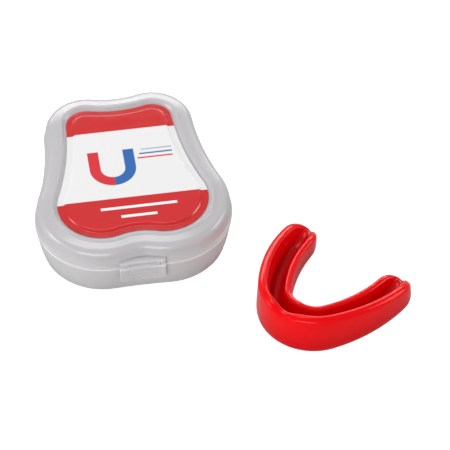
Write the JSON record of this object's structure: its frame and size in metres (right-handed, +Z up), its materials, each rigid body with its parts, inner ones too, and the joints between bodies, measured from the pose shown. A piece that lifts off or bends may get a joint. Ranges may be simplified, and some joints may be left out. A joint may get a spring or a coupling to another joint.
{
  "type": "mouthguard with case",
  "caption": "U-shaped sports mouthguard beside its lobed, hinged snap-latch carrying case with a printed label on the lid.",
  "frame": {"origin": "centre of the case's underside, on the surface it stands on", "axes": "+Z up, +Y towards the case's hinge, -Y towards its latch, +X to the right seen from the latch"},
  "size_m": [0.1524, 0.138, 0.0272],
  "materials": {
    "frosted_polypropylene": "injection-moulded translucent polypropylene, softly frosted",
    "printed_vinyl": "glossy printed vinyl sticker, red and white bands",
    "red_eva": "smooth glossy moulded EVA"
  },
  "bodies": {
    "case": {"case_base": "frosted_polypropylene", "hinge_pin": "frosted_polypropylene"},
    "lid": {"case_lid": "frosted_polypropylene", "label": "printed_vinyl"},
    "latch": {"latch_flap": "frosted_polypropylene"},
    "guard": {"mouthguard": "red_eva"}
  },
  "joints": [
    {"name": "lid_hinge", "type": "hinge", "parent": "case", "child": "lid", "pos_m": [0, 0.0465, 0.0153], "axis": [-1, 0, 0], "range_deg": [0, 180]},
    {"name": "latch_hinge", "type": "hinge", "parent": "lid", "child": "latch", "pos_m": [0, -0.047, 0.0185], "axis": [-1, 0, 0], "range_deg": [0, 110]},
    {"name": "guard_lift", "type": "slide", "parent": "case", "child": "guard", "axis": [0, 0, 1], "range_m": [0, 0.06]}
  ]
}
